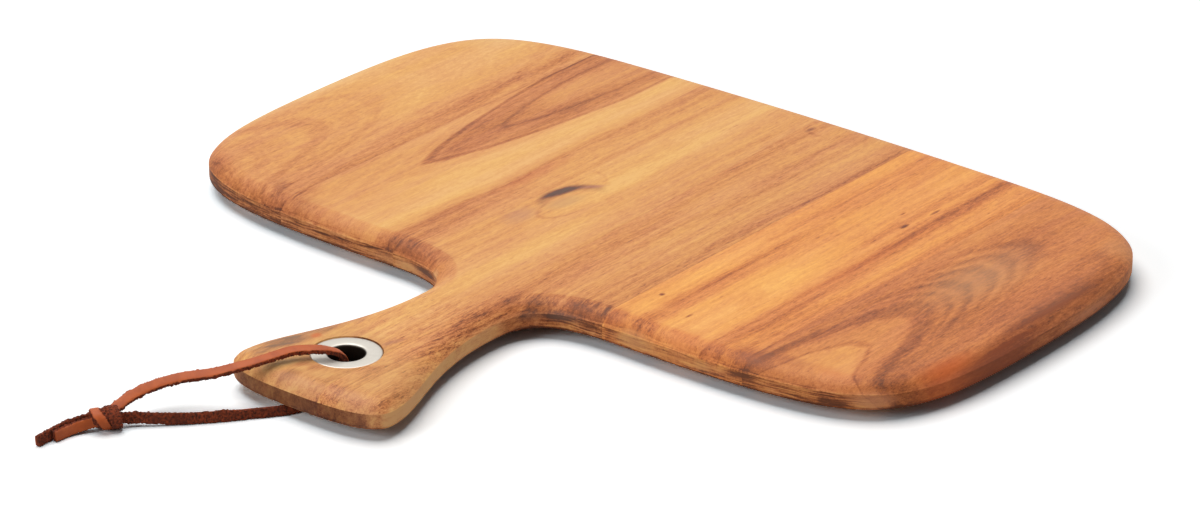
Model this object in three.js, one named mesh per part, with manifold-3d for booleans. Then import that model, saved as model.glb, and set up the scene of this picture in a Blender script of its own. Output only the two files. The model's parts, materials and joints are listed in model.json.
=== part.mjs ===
// A paddle-shaped wooden serving board: six staves glued edge to edge, a metal grommet through
// the handle and a flat leather lace knotted into a hanging loop.
// Millimetres, +Z up, the handle towards -Y, the origin under the middle of the board.
import * as THREE from "three";
import { mergeVertices } from "three/addons/utils/BufferGeometryUtils.js";
import Module from "manifold-3d";

const manifold = await Module();
manifold.setup();

// The board's outline.
const boardWidth = 380;
const bodyDepth = 211.2;
const farSag = 2.2;
const handleReach = 121.3;
const handleEndWidth = 78.6;
const handleCornerRise = 12.7;
const neckWidth = 39.6;
const neckDistance = 26.3;
const shoulderReach = 58.9;
const straightEdge = 68.9;
const endMiddle = 100.2;
const farStraight = 101.1;

// How far each curve of the outline pulls along its tangent.
const handleEndPull = 16.1;
const handleCornerPull = 12.3;
const handleFlarePull = 20.1;
const neckPull = 41.8;
const neckTopPull = 19.5;
const shoulderPull = 29.9;
const nearCornerPull = 112;
const endNearPull = 89;
const endFarPull = 89;
const farCornerPull = 77;
const curveSegments = 10;

// The board's section: a broken bevel on top, a small one below, and a low foot under the body.
const slabThickness = 11.6;
const footHeight = 4.4;
const shallowBevelWidth = 6.2;
const shallowBevelDrop = 3.2;
const steepBevelWidth = 4.1;
const steepBevelDrop = 4.8;
const lowerBevelWidth = 1.2;
const lowerBevelRise = 1.5;
const footEdgeInset = 5;
const footInset = 16;
const footOverlap = 2;

// The seams between staves, as X at the far edge and at the handle's end.
const seamsAtFarEdge = [-117.5, -60, 1, 50.5, 120];
const seamsAtHandleEnd = [-117.5, -53, 12, 54, 121];
const glueLine = 0.2;

// The grommet.
const grommetX = -2;
const grommetFromHandleEnd = 33;
const grommetRadius = 14.1;
const grommetHoleRadius = 7.3;
const barrelWall = 0.9;
const flangeThickness = 0.9;
const flangeEdge = 0.4;
const washerThickness = 0.7;
const lipThickness = 0.5;
const lipReach = 1.4;
const recessDepth = 0.7;
const fitGap = 0.3;
const roundSides = 32;

// The lace.
const laceWidth = 4.2;
const laceThickness = 2;
const laceCorner = 0.5;
const laceStep = 7;
const knotWidth = 13.4;
const knotDepth = 11;
const knotHeight = 9.2;

const boardLength = bodyDepth + farSag + handleReach;
const farY = boardLength / 2 - farSag;
const nearY = farY - bodyDepth;
const handleEndY = nearY - handleReach;
const topZ = footHeight + slabThickness;
const grommetY = handleEndY + grommetFromHandleEnd;

const wood = { color: 0xd39a57, roughness: 0.6 };
const metal = { color: 0xcfcfcf, roughness: 0.3, metalness: 1 };
const leather = { color: 0xb5653a, roughness: 0.8 };

// A three.js geometry as a solid that can be added, cut and intersected.
function solidOf(geometry) {
  const loose = geometry.index ? geometry.toNonIndexed() : geometry;
  const bare = new THREE.BufferGeometry();
  bare.setAttribute("position", loose.getAttribute("position"));
  const merged = mergeVertices(bare, 1e-4);
  return new manifold.Manifold(
    new manifold.Mesh({
      numProp: 3,
      vertProperties: merged.attributes.position.array,
      triVerts: new Uint32Array(merged.index.array),
    }),
  );
}

// A named mesh of a solid.
function meshOf(name, solid, finish) {
  const data = solid.getMesh();
  const geometry = new THREE.BufferGeometry();
  geometry.setAttribute("position", new THREE.BufferAttribute(new Float32Array(data.vertProperties), 3));
  geometry.setIndex(new THREE.BufferAttribute(new Uint32Array(data.triVerts), 1));
  const flat = geometry.toNonIndexed();
  flat.computeVertexNormals();
  const mesh = new THREE.Mesh(flat, new THREE.MeshStandardMaterial(finish));
  mesh.name = name;
  return mesh;
}

// The right half of the outline from the near middle round to the far middle. Each entry ends a
// line (two numbers) or a cubic curve (its two pulls and its end).
function rightHalf(withHandle) {
  const half = boardWidth / 2;
  const handleHalf = handleEndWidth / 2;
  const neckHalf = neckWidth / 2;
  const cornerY = handleEndY + handleCornerRise;
  const neckY = nearY - neckDistance;
  const middleY = nearY + endMiddle;
  const farTilt = (2 * farSag) / farStraight;
  const handle = [
    [handleEndPull, handleEndY, handleHalf, cornerY - handleCornerPull, handleHalf, cornerY],
    [handleHalf, cornerY + handleFlarePull, neckHalf, neckY - neckPull, neckHalf, neckY],
    [neckHalf, neckY + neckTopPull, shoulderReach - shoulderPull, nearY, shoulderReach, nearY],
  ];
  const body = [
    [straightEdge, nearY],
    [straightEdge + nearCornerPull, nearY, half, middleY - endNearPull, half, middleY],
    [half, middleY + endFarPull, farStraight + farCornerPull, farY - farCornerPull * farTilt, farStraight, farY],
    [(farStraight * 2) / 3, farY + (farSag * 2) / 3, farStraight / 3, farY + farSag, 0, farY + farSag],
  ];
  return withHandle ? [[0, handleEndY], ...handle, ...body] : [[0, nearY], ...body];
}

// The closed outline: the right half, then its mirror image back to the start.
function boardOutline(withHandle) {
  const parts = rightHalf(withHandle);
  const ends = parts.map((part) => part.slice(-2));
  const shape = new THREE.Shape();
  shape.moveTo(...ends[0]);
  for (const part of parts.slice(1)) {
    if (part.length === 2) shape.lineTo(...part);
    else shape.bezierCurveTo(...part);
  }
  for (let i = parts.length - 1; i > 0; i--) {
    const [x, y] = ends[i - 1];
    const part = parts[i];
    if (part.length === 2) shape.lineTo(-x, y);
    else shape.bezierCurveTo(-part[2], part[3], -part[0], part[1], -x, y);
  }
  return shape;
}

// The outline pushed up between two heights, with the same straight bevel on both ends.
function bevelled(shape, low, high, width, rise, inset) {
  const geometry = new THREE.ExtrudeGeometry(shape, {
    depth: high - low - 2 * rise,
    curveSegments,
    bevelEnabled: true,
    bevelThickness: rise,
    bevelSize: width,
    bevelOffset: -width - inset,
    bevelSegments: 1,
  });
  geometry.translate(0, 0, low + rise);
  return solidOf(geometry);
}

function cylinder(radius, low, high) {
  const geometry = new THREE.CylinderGeometry(radius, radius, high - low, roundSides);
  geometry.rotateX(Math.PI / 2);
  geometry.translate(grommetX, grommetY, (low + high) / 2);
  return solidOf(geometry);
}

function turned(profile) {
  const points = profile.map(([radius, z]) => new THREE.Vector2(radius, z));
  points.push(points[0].clone());
  const geometry = new THREE.LatheGeometry(points, roundSides);
  geometry.rotateX(Math.PI / 2);
  geometry.translate(grommetX, grommetY, 0);
  return solidOf(geometry);
}

// The whole blank before it is cut into staves.
function boardBlank() {
  const outline = boardOutline(true);
  const reach = 20;
  const shallow = bevelled(outline, footHeight - reach, topZ, shallowBevelWidth, shallowBevelDrop, 0);
  const steep = bevelled(outline, footHeight - reach, topZ, steepBevelWidth, steepBevelDrop, 0);
  const lower = bevelled(outline, footHeight, topZ + reach, lowerBevelWidth, lowerBevelRise, 0);
  const slab = shallow.intersect(steep).intersect(lower);
  const footTop = 2 * footHeight + footOverlap;
  const slope = footInset - footEdgeInset;
  const foot = bevelled(boardOutline(false), 0, footTop, slope, footHeight, footEdgeInset);
  const recess = recessDepth + flangeThickness + fitGap;
  const bore = cylinder(grommetHoleRadius + barrelWall + fitGap, -reach, topZ + reach);
  const above = cylinder(grommetRadius + fitGap, topZ - recess, topZ + reach);
  const below = cylinder(grommetRadius + fitGap, -reach, footHeight + recess);
  return slab.add(foot).subtract(bore).subtract(above).subtract(below);
}

// The X of a seam at one height of the plan, on the straight line through its two ends.
function seamAt(index, y) {
  const share = (y - handleEndY) / boardLength;
  return seamsAtHandleEnd[index] + share * (seamsAtFarEdge[index] - seamsAtHandleEnd[index]);
}

// The strip of the plan that one stave fills, from below the board to above it.
function staveStrip(index) {
  const margin = 10;
  const low = handleEndY - margin;
  const high = farY + farSag + margin;
  const edge = boardWidth / 2 + margin;
  const left = (y) => (index === 0 ? -edge : seamAt(index - 1, y) + glueLine / 2);
  const right = (y) => (index === seamsAtFarEdge.length ? edge : seamAt(index, y) - glueLine / 2);
  const corners = [
    [left(low), low],
    [right(low), low],
    [right(high), high],
    [left(high), high],
  ];
  const shape = new THREE.Shape(corners.map(([x, y]) => new THREE.Vector2(x, y)));
  const geometry = new THREE.ExtrudeGeometry(shape, { depth: topZ + 2 * margin, bevelEnabled: false });
  geometry.translate(0, 0, -margin);
  return solidOf(geometry);
}

// The grommet: a flange let into the top, a barrel through the hole, and a lip spread below a washer.
function grommetEyelet() {
  const inner = grommetHoleRadius;
  const outer = inner + barrelWall;
  const flangeTop = topZ - recessDepth;
  const flangeFoot = flangeTop - flangeThickness;
  const lipFoot = footHeight + 0.1;
  const lipTop = lipFoot + lipThickness;
  return turned([
    [inner, lipFoot],
    [outer + lipReach, lipFoot],
    [outer + lipReach, lipTop],
    [outer, lipTop],
    [outer, flangeFoot],
    [grommetRadius, flangeFoot],
    [grommetRadius, flangeTop - flangeEdge],
    [grommetRadius - flangeEdge, flangeTop],
    [inner + flangeEdge, flangeTop],
    [inner, flangeTop - flangeEdge],
  ]);
}

function grommetWasher() {
  const inner = grommetHoleRadius + barrelWall + fitGap;
  const low = footHeight + 0.1 + lipThickness + fitGap;
  const high = low + washerThickness;
  return turned([
    [inner, low],
    [grommetRadius, low],
    [grommetRadius, high],
    [inner, high],
  ]);
}

// The lace's section: a flat strip with its corners taken off, wide along its first axis.
function laceSection() {
  const x = laceWidth / 2;
  const y = laceThickness / 2;
  const c = laceCorner;
  const points = [
    [x, c - y],
    [x, y - c],
    [x - c, y],
    [c - x, y],
    [-x, y - c],
    [-x, c - y],
    [c - x, -y],
    [x - c, -y],
  ];
  return new THREE.Shape(points.map(([u, v]) => new THREE.Vector2(u, v)));
}

// A strip along a route of points. Each point says which way the strip's width lies there, so the
// strip can lie flat, stand on its edge and turn from one to the other.
function strip(route, widths) {
  const path = new THREE.CatmullRomCurve3(route.map((p) => new THREE.Vector3(...p)));
  const lean = new THREE.CatmullRomCurve3(widths.map((w) => new THREE.Vector3(...w)));
  const steps = Math.max(2, Math.round(path.getLength() / laceStep));
  path.computeFrenetFrames = (segments) => {
    const frames = { tangents: [], normals: [], binormals: [] };
    for (let i = 0; i <= segments; i++) {
      const t = path.getUtoTmapping(i / segments);
      const tangent = path.getTangent(t);
      const normal = lean.getPoint(t).projectOnPlane(tangent).normalize();
      frames.tangents.push(tangent);
      frames.normals.push(normal);
      frames.binormals.push(new THREE.Vector3().crossVectors(tangent, normal));
    }
    return frames;
  };
  return solidOf(new THREE.ExtrudeGeometry(laceSection(), { steps, extrudePath: path, bevelEnabled: false }));
}

// The lace's routes, chosen by hand: from the middle of the grommet's hole to the knot, and from
// the knot to the two cut ends.
const upperRoute = [
  [-2.1, -135.4, 11.1],
  [-2.1, -135.7, 13.4],
  [-2.4, -137.6, 16.4],
  [-4.4, -141.9, 18.8],
  [-8.9, -146.8, 19.7],
  [-13.6, -152.8, 19.8],
  [-16.6, -159.8, 19.2],
  [-19.9, -167.2, 18.3],
  [-24.4, -173.8, 17.1],
  [-30, -179.3, 15.3],
  [-40.4, -187.5, 13],
  [-46.5, -196.3, 11],
  [-48.9, -204.9, 9.4],
  [-49.4, -212.5, 7.6],
  [-50, -218, 5.6],
];
const upperWidths = [
  [0.95, -0.3, 0],
  [0.95, -0.3, 0],
  [0.9, -0.4, 0],
  [0.88, -0.45, -0.05],
  [0.8, -0.55, -0.15],
  [0.85, -0.5, -0.2],
  [0.9, -0.4, -0.2],
  [0.85, -0.5, -0.22],
  [0.8, -0.6, -0.3],
  [0.7, -0.65, -0.4],
  [0.7, -0.6, -0.5],
  [0.8, -0.45, -0.55],
  [0.9, -0.2, -0.5],
  [0.95, 0, -0.4],
  [0.95, 0, -0.3],
];
const lowerRoute = [
  [-2.1, -135.4, 10.6],
  [-2.1, -135.7, 8.4],
  [-2.2, -137.3, 5.4],
  [-2.6, -140.6, 2.8],
  [-3, -145, 2.1],
  [-3.4, -154, 2.1],
  [-4.6, -163, 2.15],
  [-8.4, -169.4, 2.2],
  [-13.4, -175.6, 2.2],
  [-19.4, -183.6, 2.2],
  [-29.3, -195.2, 2.4],
  [-37.4, -203.2, 3],
  [-44.4, -209.6, 3.6],
  [-50, -218, 4.2],
];
const lowerWidths = [
  [0.95, -0.3, 0],
  [0.95, -0.3, 0],
  [0.95, -0.25, 0],
  [0.98, -0.1, 0],
  [0.95, -0.05, -0.25],
  [0.75, -0.1, -0.6],
  [0.35, -0.15, -0.9],
  [0.15, -0.1, -1],
  [0.1, -0.1, -1],
  [0.1, -0.1, -1],
  [0.1, -0.1, -1],
  [0.1, -0.1, -1],
  [0.1, -0.1, -1],
  [0.2, -0.2, -1],
];
const backTailRoute = [
  [-53, -219.5, 4.8],
  [-56.4, -223.5, 3.9],
  [-59.3, -229.5, 2.9],
  [-60.1, -237, 2.4],
  [-59.9, -245, 2.2],
];
const backTailWidths = [
  [0.3, 0, -1],
  [0.25, 0, -1],
  [0.2, 0, -1],
  [0.1, 0, -1],
  [0.05, 0, -1],
];
const frontTailRoute = [
  [-50.6, -220.4, 4.4],
  [-53.8, -224.2, 3.5],
  [-56.8, -230.2, 2.5],
  [-57.6, -238, 2.3],
];
const frontTailWidths = [
  [0.3, 0, -1],
  [0.25, 0, -1],
  [0.2, 0, -1],
  [0.1, 0, -1],
];
const knotCentre = [-50, -217.6, knotHeight / 2 + 0.1];
const knotTurn = THREE.MathUtils.degToRad(20);

// The knot as one plain rounded lump, grown all round by a margin when it cuts the strips.
function knotLump(margin) {
  const geometry = new THREE.SphereGeometry(1, 16, 10);
  geometry.scale(knotWidth / 2 + margin, knotDepth / 2 + margin, knotHeight / 2 + margin);
  geometry.rotateZ(knotTurn);
  geometry.translate(...knotCentre);
  return solidOf(geometry);
}

const board = new THREE.Group();
board.name = "serving_board";

const blank = boardBlank();
for (let i = 0; i <= seamsAtFarEdge.length; i++) {
  board.add(meshOf(`stave_${i + 1}`, blank.intersect(staveStrip(i)), wood));
}
board.add(meshOf("grommet_eyelet", grommetEyelet(), metal));
board.add(meshOf("grommet_washer", grommetWasher(), metal));

const knotSpace = knotLump(fitGap);
board.add(meshOf("lace_upper", strip(upperRoute, upperWidths).subtract(knotSpace), leather));
board.add(meshOf("lace_lower", strip(lowerRoute, lowerWidths).subtract(knotSpace), leather));
board.add(meshOf("lace_knot", knotLump(0), leather));
board.add(meshOf("lace_tail_back", strip(backTailRoute, backTailWidths).subtract(knotSpace), leather));
board.add(meshOf("lace_tail_front", strip(frontTailRoute, frontTailWidths).subtract(knotSpace), leather));

export default board;
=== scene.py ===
import json
import math
import random
import bpy
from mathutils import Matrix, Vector

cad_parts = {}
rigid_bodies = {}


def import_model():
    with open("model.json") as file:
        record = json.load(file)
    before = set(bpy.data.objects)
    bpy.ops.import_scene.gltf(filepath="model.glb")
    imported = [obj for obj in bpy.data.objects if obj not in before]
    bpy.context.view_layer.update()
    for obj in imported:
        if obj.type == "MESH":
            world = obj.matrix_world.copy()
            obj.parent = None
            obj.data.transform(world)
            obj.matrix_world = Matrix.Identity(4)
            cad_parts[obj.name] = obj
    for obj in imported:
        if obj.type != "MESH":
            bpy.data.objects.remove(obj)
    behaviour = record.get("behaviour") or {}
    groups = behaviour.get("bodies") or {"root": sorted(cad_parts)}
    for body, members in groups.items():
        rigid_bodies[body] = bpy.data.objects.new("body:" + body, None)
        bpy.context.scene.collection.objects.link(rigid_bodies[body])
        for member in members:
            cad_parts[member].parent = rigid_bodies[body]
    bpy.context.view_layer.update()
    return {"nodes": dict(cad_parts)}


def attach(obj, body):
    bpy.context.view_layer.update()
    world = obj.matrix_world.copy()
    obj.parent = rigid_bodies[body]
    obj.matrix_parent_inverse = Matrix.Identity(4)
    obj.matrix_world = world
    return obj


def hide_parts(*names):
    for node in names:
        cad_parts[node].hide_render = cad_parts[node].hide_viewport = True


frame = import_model()
mm = 0.001
scene = bpy.context.scene
scene.view_settings.view_transform = "Standard"
print("frame loaded:", len(frame["nodes"]), "solids")


# small helpers

def objectMode():
    if bpy.context.mode != "OBJECT":
        bpy.ops.object.mode_set(mode="OBJECT")


def editAll():  # edit mode, with everything selected
    bpy.ops.object.mode_set(mode="EDIT")
    bpy.ops.mesh.select_all(action="SELECT")


def deselectAll():
    objectMode()
    bpy.ops.object.select_all(action="DESELECT")


def pick(obj):
    deselectAll()
    obj.select_set(True)
    bpy.context.view_layer.objects.active = obj


def meshObject(name, points, edges, faces):
    mesh = bpy.data.meshes.new(name)
    mesh.from_pydata(points, edges, faces)
    mesh.update()
    obj = bpy.data.objects.new(name, mesh)
    scene.collection.objects.link(obj)
    return obj


def applyModifier(obj, kind, **settings):
    pick(obj)
    modifier = obj.modifiers.new(kind.lower(), kind)
    for key, value in settings.items():
        setattr(modifier, key, value)
    bpy.ops.object.modifier_apply(modifier=modifier.name)


def smoothShade(obj, degrees):
    pick(obj)
    bpy.ops.object.shade_smooth_by_angle(angle=math.radians(degrees))


def dress(piece, material, body, node):
    piece.data.materials.clear()
    piece.data.materials.append(material)
    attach(piece, body)
    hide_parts(node)


def colour(r, g, b):  # a colour as it reads on screen
    lift = lambda c: c / 12.92 if c <= 0.04045 else ((c + 0.055) / 1.055) ** 2.4
    return (lift(r / 255), lift(g / 255), lift(b / 255), 1)


# node helpers

inHand = {}  # the node tree that the next nodes go into


def openNodes(owner):
    owner.use_nodes = True
    owner.node_tree.nodes.clear()
    inHand["tree"] = owner.node_tree


def newMaterial(name):
    material = bpy.data.materials.new(name)
    openNodes(material)
    return material


def put(kind, inputs=None, **settings):
    tree = inHand["tree"]
    node = tree.nodes.new(kind)
    for key, value in settings.items():
        setattr(node, key, value)
    for key, value in (inputs or {}).items():
        if isinstance(value, bpy.types.NodeSocket):
            tree.links.new(value, node.inputs[key])
        else:
            node.inputs[key].default_value = value
    return node


def surface(kind, inputs):
    shader = put(kind, inputs)
    put("ShaderNodeOutputMaterial", {"Surface": shader.outputs[0]})


def finishSurface(look, base, rough, height):
    bump = put("ShaderNodeBump", {"Strength": look["bump"], "Distance": look["bumpReach"], "Height": height})
    surface("ShaderNodeBsdfPrincipled", {"Base Color": base, "Roughness": rough, "Normal": bump.outputs[0],
                                         **look["shader"]})


def calc(operation, a, b=0.0, c=0.0):
    return put("ShaderNodeMath", {0: a, 1: b, 2: c}, operation=operation).outputs[0]


def times(a, b, onto=None):  # a times b, on top of a third value where there is one
    if onto is None:
        return calc("MULTIPLY", a, b)
    return calc("MULTIPLY_ADD", a, b, onto)


def plus(a, b):
    return calc("ADD", a, b)


def minus(a, b):
    return calc("SUBTRACT", a, b)


def vary(tone, pattern, amount):  # a pattern round 0.5 makes a tone paler and darker
    return times(minus(pattern, 0.5), amount, tone)


def tint(factor, base, over, blend="MIX"):
    node = put("ShaderNodeMix", {0: factor, 6: base, 7: over}, data_type="RGBA", blend_type=blend)
    return node.outputs[2]


def spread(value, low, high, outLow=0.0, outHigh=1.0, soft=True):
    kind = "SMOOTHSTEP" if soft else "LINEAR"
    node = put("ShaderNodeMapRange", {0: value, 1: low, 2: high, 3: outLow, 4: outHigh}, interpolation_type=kind)
    return node.outputs[0]


def scaled(vector, factor):
    return put("ShaderNodeVectorMath", {0: vector, 3: factor}, operation="SCALE").outputs[0]


def noise(at, detail, rough, dimensions="3D"):  # 1D reads one value, 3D a place
    inputs = {"W" if dimensions == "1D" else "Vector": at, "Scale": 1.0, "Detail": detail, "Roughness": rough}
    return put("ShaderNodeTexNoise", inputs, noise_dimensions=dimensions).outputs[0]


# camera, floor and light

camera = {
    "place": (1.27217, -1.54418, 0.92342),
    "turn": (90 - 24.54, 0, 39.17),
    "lens": 164.31,
    "sensor": 36,
    "farthest": 20,
}
studio = {
    "floorSize": 12,
    "floorDrop": 0.00002,  # just under the board's foot
    "floorTone": 0.60,
    "floorSeen": (1.38, 1.40, 1.40),  # paper white to the camera
    "floorShadeTint": (1.72, 2.00, 2.14),  # painted: the floor turns cool and paler where the wood shades it closely, against the wood's warm bounce light
    "underReach": 0.016,
    "underSamples": 4,
    "underShare": (0.3, 0.68),
    "skyLight": 0.05,
    "key": {"place": (-0.85, 0.2, 3.0), "size": 3.4, "power": 86},
    "front": {"place": (-1.0, -2.5, 1.3), "size": 1.6, "power": 20},
    "fill": {"place": (0.4, -2.5, 1.1), "size": 1.4, "power": 12},
    "rim": {"place": (2.0, 0.7, 0.7), "size": 0.9, "power": 11},
}


def addCamera():
    bpy.ops.object.camera_add(location=camera["place"], rotation=[math.radians(a) for a in camera["turn"]])
    cam = bpy.context.object
    cam.data.sensor_width = camera["sensor"]
    cam.data.lens = camera["lens"]
    cam.data.clip_end = camera["farthest"]
    cam.data.dof.use_dof = False
    scene.camera = cam


def seenRays(*kinds):  # 1 for rays of these kinds
    path = put("ShaderNodeLightPath").outputs
    seen = path[f"Is {kinds[0]} Ray"]
    for kind in kinds[1:]:
        seen = calc("MAXIMUM", seen, path[f"Is {kind} Ray"])
    return seen


def addFloor():
    deselectAll()
    bpy.ops.mesh.primitive_plane_add(size=studio["floorSize"], location=(0, 0, -studio["floorDrop"]))
    floor = bpy.context.object
    floor.name = "studioFloor"
    material = newMaterial("studioFloor")
    # painted: where the wood shades the floor closely, its colour turns to the cool shade tint
    clear = put("ShaderNodeAmbientOcclusion", {"Distance": studio["underReach"]}, samples=studio["underSamples"])
    clear = spread(clear.outputs["AO"], *studio["underShare"])
    paper = tint(clear, (*studio["floorShadeTint"], 1), (*studio["floorSeen"], 1))
    hidden = [studio["floorTone"]] * 3
    paper = tint(seenRays("Camera", "Transmission"), (*hidden, 1), paper)
    surface("ShaderNodeBsdfDiffuse", {"Color": paper})
    floor.data.materials.append(material)


def addWorld():
    world = bpy.data.worlds.new("studioSky")
    scene.world = world
    openNodes(world)
    seen = seenRays("Camera", "Transmission", "Glossy")
    strength = spread(seen, 0, 1, studio["skyLight"], 1.0, soft=False)
    back = put("ShaderNodeBackground", {"Color": (1, 1, 1, 1), "Strength": strength})
    put("ShaderNodeOutputWorld", {"Surface": back.outputs[0]})


def addLamp(name):
    spec = studio[name]
    aim = -Vector(spec["place"])
    bpy.ops.object.light_add(type="AREA", location=spec["place"], rotation=aim.to_track_quat("-Z", "Y").to_euler())
    lamp = bpy.context.object
    lamp.name = f"{name}Lamp"
    lamp.data.shape = "DISK"
    lamp.data.size = spec["size"]
    lamp.data.energy = spec["power"]
    return lamp


addCamera()
addFloor()
addWorld()
lamps = {name: addLamp(name) for name in ("key", "front", "fill", "rim")}
print("camera, floor and light set")


# leather lace, in mm

lace = {
    "width": 4.2,
    "thickness": 2.0,
    "halfSection": [  # from the middle of the skin side: across, through, how much of the tanned skin shows
        (0, 1.05, 1), (0.4, 1.03, 1), (0.75, 1, 1), (0.92, 0.9, 0.9), (1, 0.55, 0.25), (1, 0.15, 0), (1.01, -0.3, 0),
        (1.02, -0.75, 0), (0.9, -1, 0), (0.6, -1, 0), (0.3, -1, 0), (0, -1, 0)],
    "spanSteps": 40,
    "stepLength": 0.45,
    "suedeBelow": 0.3,  # less skin than this is rough
    "edgeFrom": 0.42,  # share of the width
    "fray": 0.55,
    "frayIn": -0.5,
    "frayShare": 0.7,
    "nap": 0.15,
    "edgeNap": 0.6,
    "roughCarry": 0.35,  # how far one step's roughness goes on into the next
    "fibresPerMm": 13,
    "fibresOnFace": 0.45,  # the others stand on the cut edges
    "faceFibre": {"across": (0, 0.95), "rise": (-1.0, -0.3), "size": 0.6},
    "edgeFibre": {"through": (-0.5, 1.0), "rise": (-0.8, 0.25), "size": 1},
    "fibreRoot": 0.97,
    "fibreCorners": [(1, 0), (-0.5, 0.87), (-0.5, -0.87)],  # three-sided, to a tip
    "fibreTwist": 0.3,
    "fibreOut": (0.3, 1),
    "fibreSweep": (-1.2, 1.2),
    "fibreCurl": (-0.2, 0.2),
    "fibreLength": (0.25, 0.8),
    "fibreThickness": (0.05, 0.12),
    "fibreSkin": (0.0, 0.2, 0.4),
    "smooth": 50,
    "lift": 0.03,
    "pivot": (-2, -134.35),
    "gapReach": (6, 9, 46, 52),  # from the pivot: where the press starts, is full, eases and ends
    "gapBend": 3.4,
    "gapPress": 0.62,
    "gapRoof": 7,
}
# each strand: its route, which way its width lies along it, the side of the skin
upperStrand = {
    "skinSide": 1, "seed": 11,
    "route": [
        (-2.1, -135.4, 11.1), (-2.1, -135.7, 13.4), (-2.4, -137.6, 16.4), (-4.4, -141.9, 18.8),
        (-8.9, -146.8, 19.7), (-13.6, -152.8, 19.8), (-16.6, -159.8, 19.2), (-19.9, -167.2, 18.3),
        (-24.4, -173.8, 17.1), (-30, -179.3, 15.3), (-40.4, -187.5, 13), (-46.5, -196.3, 11), (-48.9, -204.9, 9.4),
        (-49.4, -212.5, 7.6), (-50, -218, 5.6)],
    "widths": [
        (0.95, -0.3, 0), (0.95, -0.3, 0), (0.9, -0.4, 0), (0.88, -0.45, -0.05), (0.8, -0.55, -0.15),
        (0.85, -0.5, -0.2), (0.9, -0.4, -0.2), (0.85, -0.5, -0.22), (0.8, -0.6, -0.3), (0.7, -0.65, -0.4),
        (0.7, -0.6, -0.5), (0.8, -0.45, -0.55), (0.9, -0.2, -0.5), (0.95, 0, -0.4), (0.95, 0, -0.3)],
}
lowerStrand = {
    "skinSide": -1, "seed": 13,
    "route": [
        (-2.1, -135.4, 10.6), (-2.1, -135.7, 8.4), (-2.2, -137.3, 5.4), (-2.6, -140.6, 2.8), (-3, -145, 2.1),
        (-3.4, -154, 2.1), (-4.6, -163, 2.15), (-8.4, -169.4, 2.2), (-13.4, -175.6, 2.2), (-19.4, -183.6, 2.2),
        (-29.3, -195.2, 2.4), (-37.4, -203.2, 3), (-44.4, -209.6, 3.6), (-50, -218, 4.2)],
    "widths": [
        (0.95, -0.3, 0), (0.95, -0.3, 0), (0.95, -0.25, 0), (0.98, -0.1, 0), (0.95, -0.05, -0.25),
        (0.75, -0.1, -0.6), (0.35, -0.15, -0.9), (0.15, -0.1, -1), (0.1, -0.1, -1), (0.1, -0.1, -1),
        (0.1, -0.1, -1), (0.1, -0.1, -1), (0.1, -0.1, -1), (0.2, -0.2, -1)],
}
backTail = {
    "skinSide": -1, "seed": 17,
    "route": [
        (-53, -219.5, 4.8), (-56.4, -223.5, 3.9), (-59.3, -229.5, 2.9), (-60.1, -237, 2.4), (-59.9, -245, 2.2)],
    "widths": [
        (0.3, 0, -1), (0.25, 0, -1), (0.2, 0, -1), (0.1, 0, -1), (0.05, 0, -1)],
}
frontTail = {
    "skinSide": 1, "seed": 19,
    "route": [
        (-50.6, -220.4, 4.4), (-53.8, -224.2, 3.5), (-56.8, -230.2, 2.5), (-57.6, -238, 2.3)],
    "widths": [
        (0.3, 0, -1), (0.25, 0, -1), (0.2, 0, -1), (0.1, 0, -1)],
}


def smoothLine(points):  # a curve through the listed points
    steps = lace["spanSteps"]
    points = [Vector(p) for p in points]
    points = [2 * points[0] - points[1]] + points + [2 * points[-1] - points[-2]]
    line = []
    for i in range(1, len(points) - 2):
        p0, p1, p2, p3 = points[i - 1:i + 3]
        d0, d1, d2 = [max((b - a).length, 1e-6) ** 0.5 for a, b in ((p0, p1), (p1, p2), (p2, p3))]
        m1 = ((p1 - p0) / d0 - (p2 - p0) / (d0 + d1) + (p2 - p1) / d1) * d1
        m2 = ((p2 - p1) / d1 - (p3 - p1) / (d1 + d2) + (p3 - p2) / d2) * d1
        for k in range(steps):
            t = k / steps
            line.append((2 * t**3 - 3 * t**2 + 1) * p1 + (t**3 - 2 * t**2 + t) * m1
                        + (3 * t**2 - 2 * t**3) * p2 + (t**3 - t**2) * m2)
    line.append(points[-2])
    return line


def evenly(line, sides):  # both lists read again at equal steps along the first
    far = [0.0]
    for a, b in zip(line, line[1:]):
        far.append(far[-1] + (b - a).length)
    count = max(4, round(far[-1] / lace["stepLength"]))
    centres, widths, k = [], [], 0
    for i in range(count + 1):
        want = far[-1] * i / count
        while k < len(far) - 2 and far[k + 1] < want:
            k += 1
        t = (want - far[k]) / max(far[k + 1] - far[k], 1e-9)
        centres.append(line[k].lerp(line[k + 1], t))
        widths.append(sides[k].lerp(sides[k + 1], t))
    return centres, widths


def settled(point):  # off the floor, and pressed into the gap where a strand can turn below the handle
    z = max(point.z, lace["lift"])
    away = math.dist((point.x, point.y), lace["pivot"])
    near, full, leaving, clear = lace["gapReach"]
    if near < away < clear and z < lace["gapRoof"]:
        share = min((away - near) / (full - near), (clear - away) / (clear - leaving), 1)
        z -= share * lace["gapPress"] * max(z - lace["gapBend"], 0)
    return Vector((point.x, point.y, z)) * mm


def stripSection():  # once round, from the left of the skin side
    w, h = lace["width"] / 2, lace["thickness"] / 2
    right = lace["halfSection"]
    left = [(-u, v, s) for u, v, s in right[-2:0:-1]]
    loop = left[-2:] + right + left[:-2]
    return [(w * u, h * v, s) for u, v, s in loop]


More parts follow.
